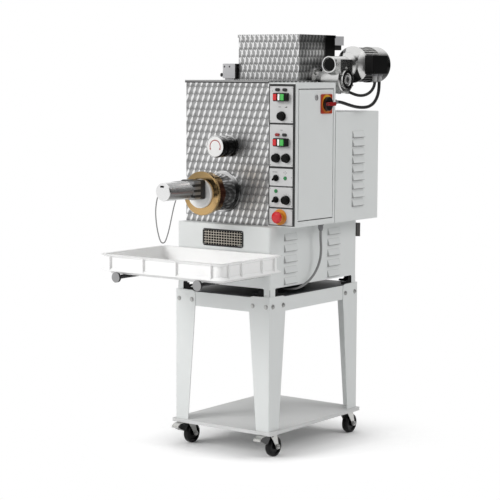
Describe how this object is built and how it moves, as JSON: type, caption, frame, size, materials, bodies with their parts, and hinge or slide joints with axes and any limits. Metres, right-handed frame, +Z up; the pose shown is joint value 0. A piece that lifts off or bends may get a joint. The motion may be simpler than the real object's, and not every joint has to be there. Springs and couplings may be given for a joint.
{
  "type": "electric pasta maker",
  "caption": "Free-standing electric pasta extruder: mixing tub with geared motor over a driven screw, rotary cutter, control panel, catch tray on rods and a wheeled sheet-metal stand.",
  "frame": {"origin": "middle of the machine's footprint, on the floor under the casters, measured without the cords", "axes": "+Z up, front with the die and tray towards -Y, +X towards the machine's right-hand side with the cabinet"},
  "size_m": [0.665, 1.15, 1.6593],
  "materials": {
    "stand_paint": "satin light grey-white powder coat",
    "zinc": "bright zinc plate",
    "tyre_rubber": "matt black",
    "pedal_plastic": "moulded black",
    "grille_plastic": "moulded black",
    "rod_steel": "ground steel bar",
    "tray_plastic": "white food-grade moulding",
    "body_steel": "engine-turned stainless sheet",
    "chrome_steel": "polished",
    "nut_brass": "polished",
    "die_white": "white disc",
    "cutter_black": "semi-matt black",
    "lead_grey": "grey sheath",
    "cable_black": "black sheath",
    "knob_chrome": "turned and polished",
    "panel_white": "white plates on a black frame",
    "switch_black": "black housing",
    "button_red": "red",
    "button_green": "green",
    "knob_black": "black",
    "estop_red": "red",
    "switch_red": "red",
    "lock_steel": "plated",
    "gear_alloy": "cast, silver painted",
    "box_grey": "grey housing",
    "belt_rubber": "toothed belt",
    "drive_iron": "machined",
    "motor_paint": "grey motor paint"
  },
  "bodies": {
    "frame": {"legs": "stand_paint", "rails": "stand_paint", "shelf": "stand_paint", "caster_plates": "zinc", "base_casing": "stand_paint", "fan_grille": "grille_plastic", "tray_rods": "rod_steel", "main_motor": "motor_paint", "drive_belt": "belt_rubber", "body_shell": "body_steel", "top_cover": "body_steel", "extrusion_chamber": "chrome_steel", "die": "die_white", "cutter_motor": "cutter_black", "cutter_lead": "lead_grey", "control_panel": "panel_white", "switch_blocks": "switch_black", "cabinet": "stand_paint", "rear_box": "stand_paint", "hopper": "body_steel", "gearbox": "gear_alloy", "gear_motor": "gear_alloy", "hopper_switches": "box_grey", "base_cable": "lead_grey", "motor_cable": "cable_black", "sensor_cable": "cable_black"},
    "caster_fork_front_left": {"caster_fork_front_left": "zinc"},
    "caster_wheel_front_left": {"caster_wheel_front_left": "tyre_rubber"},
    "caster_pedal_front_left": {"caster_pedal_front_left": "pedal_plastic"},
    "caster_fork_front_right": {"caster_fork_front_right": "zinc"},
    "caster_wheel_front_right": {"caster_wheel_front_right": "tyre_rubber"},
    "caster_pedal_front_right": {"caster_pedal_front_right": "pedal_plastic"},
    "caster_fork_back_left": {"caster_fork_back_left": "zinc"},
    "caster_wheel_back_left": {"caster_wheel_back_left": "tyre_rubber"},
    "caster_fork_back_right": {"caster_fork_back_right": "zinc"},
    "caster_wheel_back_right": {"caster_wheel_back_right": "tyre_rubber"},
    "fan_rotor": {"fan_rotor": "grille_plastic"},
    "rear_door": {"rear_door": "stand_paint"},
    "tray": {"tray": "tray_plastic"},
    "motor_pulley": {"motor_pulley": "drive_iron"},
    "extruder_screw": {"extruder_screw": "body_steel"},
    "ring_nut": {"ring_nut": "nut_brass"},
    "cutter_knife": {"cutter_knife": "chrome_steel"},
    "gate_knob": {"gate_knob": "knob_chrome"},
    "mixer_stop_button": {"mixer_stop_button": "button_red"},
    "mixer_start_button": {"mixer_start_button": "button_green"},
    "extruder_stop_button": {"extruder_stop_button": "button_red"},
    "extruder_start_button": {"extruder_start_button": "button_green"},
    "feed_knob": {"feed_knob": "knob_black"},
    "mix_knob": {"mix_knob": "knob_black"},
    "cut_knob": {"cut_knob": "knob_black"},
    "fan_knob": {"fan_knob": "knob_black"},
    "mode_selector": {"mode_selector": "knob_black"},
    "fan_selector": {"fan_selector": "knob_black"},
    "estop_button": {"estop_button": "estop_red"},
    "cabinet_door": {"cabinet_door": "stand_paint"},
    "door_lock": {"door_lock": "lock_steel"},
    "main_switch_knob": {"main_switch_knob": "switch_red"},
    "hopper_lid": {"hopper_lid": "body_steel"},
    "mixer_shaft": {"mixer_shaft": "body_steel"}
  },
  "joints": [
    {"name": "caster_swivel_front_left", "type": "hinge", "parent": "frame", "child": "caster_fork_front_left", "pos_m": [-0.2375, -0.124, 0.09965], "axis": [0, 0, 1], "continuous": true},
    {"name": "caster_spin_front_left", "type": "hinge", "parent": "caster_fork_front_left", "child": "caster_wheel_front_left", "pos_m": [-0.2375, -0.094, 0.04], "axis": [1, 0, 0], "continuous": true},
    {"name": "caster_brake_front_left", "type": "hinge", "parent": "caster_fork_front_left", "child": "caster_pedal_front_left", "pos_m": [-0.2375, -0.126, 0.086], "axis": [1, 0, 0], "range_deg": [0, 12]},
    {"name": "caster_swivel_front_right", "type": "hinge", "parent": "frame", "child": "caster_fork_front_right", "pos_m": [0.1725, -0.124, 0.09965], "axis": [0, 0, 1], "continuous": true},
    {"name": "caster_spin_front_right", "type": "hinge", "parent": "caster_fork_front_right", "child": "caster_wheel_front_right", "pos_m": [0.1725, -0.094, 0.04], "axis": [1, 0, 0], "continuous": true},
    {"name": "caster_brake_front_right", "type": "hinge", "parent": "caster_fork_front_right", "child": "caster_pedal_front_right", "pos_m": [0.1725, -0.126, 0.086], "axis": [1, 0, 0], "range_deg": [0, 12]},
    {"name": "caster_swivel_back_left", "type": "hinge", "parent": "frame", "child": "caster_fork_back_left", "pos_m": [-0.2375, 0.428, 0.09965], "axis": [0, 0, 1], "continuous": true},
    {"name": "caster_spin_back_left", "type": "hinge", "parent": "caster_fork_back_left", "child": "caster_wheel_back_left", "pos_m": [-0.2375, 0.458, 0.04], "axis": [1, 0, 0], "continuous": true},
    {"name": "caster_swivel_back_right", "type": "hinge", "parent": "frame", "child": "caster_fork_back_right", "pos_m": [0.1725, 0.428, 0.09965], "axis": [0, 0, 1], "continuous": true},
    {"name": "caster_spin_back_right", "type": "hinge", "parent": "caster_fork_back_right", "child": "caster_wheel_back_right", "pos_m": [0.1725, 0.458, 0.04], "axis": [1, 0, 0], "continuous": true},
    {"name": "fan_spin", "type": "hinge", "parent": "frame", "child": "fan_rotor", "pos_m": [-0.0325, -0.116, 0.858], "axis": [1, 0, 0], "continuous": true},
    {"name": "rear_door_hinge", "type": "hinge", "parent": "frame", "child": "rear_door", "pos_m": [-0.2435, 0.466, 0.79], "axis": [0, 0, 1], "range_deg": [0, 110]},
    {"name": "tray_lift", "type": "slide", "parent": "frame", "child": "tray", "axis": [0, 0, 1], "range_m": [0, 0.04]},
    {"name": "screw_spin", "type": "hinge", "parent": "frame", "child": "extruder_screw", "pos_m": [-0.0645, 0.152, 1.038], "axis": [0, -1, 0], "continuous": true},
    {"name": "motor_spin", "type": "hinge", "parent": "frame", "child": "motor_pulley", "pos_m": [-0.0645, 0.43, 0.745], "axis": [0, -1, 0], "continuous": true},
    {"name": "ring_nut_turn", "type": "hinge", "parent": "frame", "child": "ring_nut", "pos_m": [-0.0645, -0.228, 1.038], "axis": [0, -1, 0], "range_deg": [0, 60]},
    {"name": "knife_spin", "type": "hinge", "parent": "frame", "child": "cutter_knife", "pos_m": [-0.0645, -0.273, 1.038], "axis": [0, -1, 0], "continuous": true},
    {"name": "gate_turn", "type": "hinge", "parent": "frame", "child": "gate_knob", "pos_m": [-0.0395, -0.148, 1.219], "axis": [0, -1, 0], "range_deg": [-90, 90]},
    {"name": "mixer_stop_press", "type": "slide", "parent": "frame", "child": "mixer_stop_button", "axis": [0, 1, 0], "range_m": [0, 0.004], "stiffness_N_per_m": 400},
    {"name": "mixer_start_press", "type": "slide", "parent": "frame", "child": "mixer_start_button", "axis": [0, 1, 0], "range_m": [0, 0.004], "stiffness_N_per_m": 400},
    {"name": "extruder_stop_press", "type": "slide", "parent": "frame", "child": "extruder_stop_button", "axis": [0, 1, 0], "range_m": [0, 0.004], "stiffness_N_per_m": 400},
    {"name": "extruder_start_press", "type": "slide", "parent": "frame", "child": "extruder_start_button", "axis": [0, 1, 0], "range_m": [0, 0.004], "stiffness_N_per_m": 400},
    {"name": "feed_knob_turn", "type": "hinge", "parent": "frame", "child": "feed_knob", "pos_m": [0.2155, -0.118, 1.341], "axis": [0, -1, 0], "range_deg": [-140, 140]},
    {"name": "mix_knob_turn", "type": "hinge", "parent": "frame", "child": "mix_knob", "pos_m": [0.1905, -0.118, 1.179], "axis": [0, -1, 0], "range_deg": [-140, 140]},
    {"name": "cut_knob_turn", "type": "hinge", "parent": "frame", "child": "cut_knob", "pos_m": [0.2375, -0.118, 1.18], "axis": [0, -1, 0], "range_deg": [-140, 140]},
    {"name": "fan_knob_turn", "type": "hinge", "parent": "frame", "child": "fan_knob", "pos_m": [0.2375, -0.118, 1.018], "axis": [0, -1, 0], "range_deg": [-140, 140]},
    {"name": "mode_selector_turn", "type": "hinge", "parent": "frame", "child": "mode_selector", "pos_m": [0.1895, -0.118, 1.102], "axis": [0, -1, 0], "range_deg": [-90, 0]},
    {"name": "fan_selector_turn", "type": "hinge", "parent": "frame", "child": "fan_selector", "pos_m": [0.1895, -0.118, 1.018], "axis": [0, -1, 0], "range_deg": [-90, 0]},
    {"name": "estop_press", "type": "slide", "parent": "frame", "child": "estop_button", "axis": [0, 1, 0], "range_m": [0, 0.006]},
    {"name": "cabinet_door_hinge", "type": "hinge", "parent": "frame", "child": "cabinet_door", "pos_m": [0.2735, 0.035, 0.9405], "axis": [0, 1, 0], "range_deg": [0, 100]},
    {"name": "door_lock_turn", "type": "hinge", "parent": "cabinet_door", "child": "door_lock", "pos_m": [0.2765, 0.035, 1.411], "axis": [1, 0, 0], "range_deg": [0, 90]},
    {"name": "main_switch_turn", "type": "hinge", "parent": "cabinet_door", "child": "main_switch_knob", "pos_m": [0.2865, 0.102, 1.386], "axis": [1, 0, 0], "range_deg": [0, 90]},
    {"name": "lid_hinge", "type": "hinge", "parent": "frame", "child": "hopper_lid", "pos_m": [-0.0325, 0.411, 1.652], "axis": [-1, 0, 0], "range_deg": [0, 100]},
    {"name": "mixer_spin", "type": "hinge", "parent": "frame", "child": "mixer_shaft", "pos_m": [-0.0325, 0.274, 1.48], "axis": [1, 0, 0], "continuous": true}
  ],
  "couplings": [
    {"joint": "motor_spin", "follows": "screw_spin", "ratio": 1.875}
  ]
}
